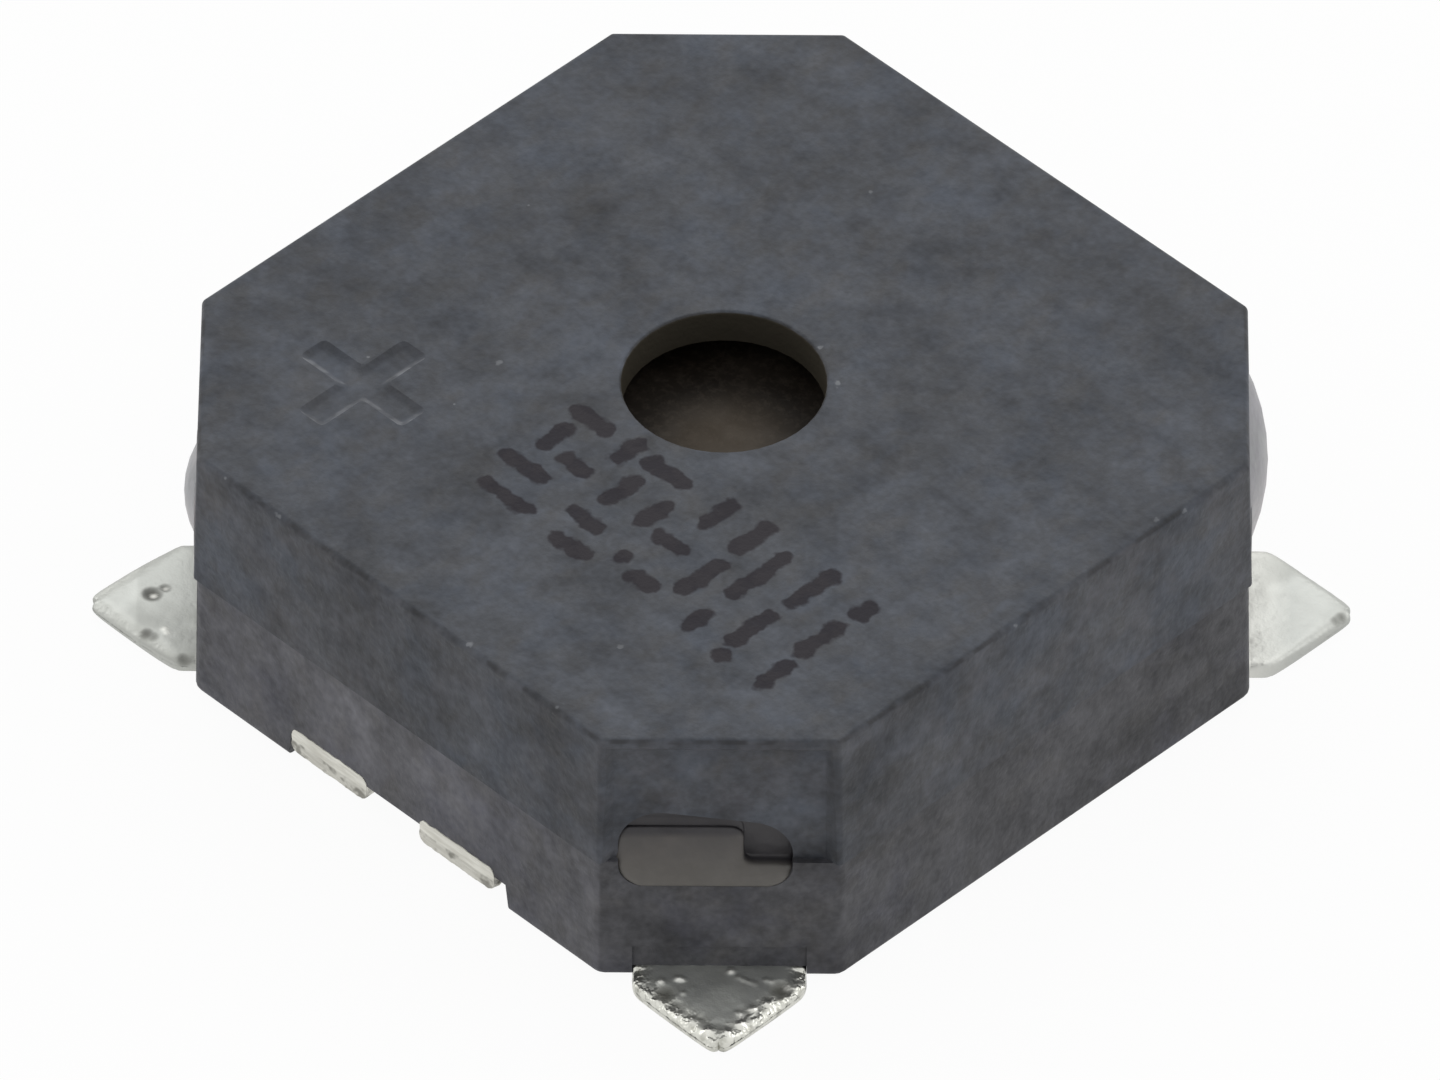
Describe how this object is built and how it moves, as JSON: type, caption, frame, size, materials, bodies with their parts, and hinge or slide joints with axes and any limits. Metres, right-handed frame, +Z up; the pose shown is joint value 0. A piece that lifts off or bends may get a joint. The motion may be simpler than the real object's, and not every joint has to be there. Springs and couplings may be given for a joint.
{
  "type": "magnetic buzzer",
  "caption": "Surface-mount magnetic buzzer: low square black moulded case with bevelled corners, round sound hole in the roof and a pointed tin-plated solder terminal at each corner.",
  "frame": {"origin": "centre of the mounting plane, on which the undersides of the four terminals rest", "axes": "+Z up out of the board, X and Y along the sides of the square case; the polarity mark is towards the -X -Y corner and the tie bars come out of the -Y and +Y sides"},
  "size_m": [0.0086, 0.0086, 0.003],
  "materials": {
    "lcp_moulding": "matte, faintly mottled moulded surface",
    "tinned_yoke_steel": "tin flash, sheared ends",
    "core_iron": "turned, dull",
    "insulating_film": "film",
    "enamelled_copper": "enamelled copper wire",
    "magnet": "sintered, dull",
    "spring_steel": "rolled sheet",
    "tin_plate": "matte tin plate with bright beads and pits",
    "solder": "bright solder",
    "sealing_resin": "grey sealing resin, semi-gloss",
    "sealing_resin_front": "beige-grey sealing resin, dull"
  },
  "bodies": {
    "root": {"cover": "lcp_moulding", "base": "lcp_moulding", "yoke_plate": "tinned_yoke_steel", "pole_core": "core_iron", "insulating_washer": "insulating_film", "coil": "enamelled_copper", "ring_magnet": "magnet", "diaphragm": "spring_steel", "armature": "core_iron", "terminal_positive": "tin_plate", "terminal_negative": "tin_plate", "terminal_front": "tin_plate", "terminal_back": "tin_plate", "coil_lead_positive": "enamelled_copper", "coil_lead_negative": "enamelled_copper", "solder_joint_positive": "solder", "solder_joint_negative": "solder", "resin_plug_positive": "sealing_resin", "resin_plug_negative": "sealing_resin", "resin_plug_front": "sealing_resin_front", "resin_plug_back": "sealing_resin_front"}
  },
  "joints": []
}
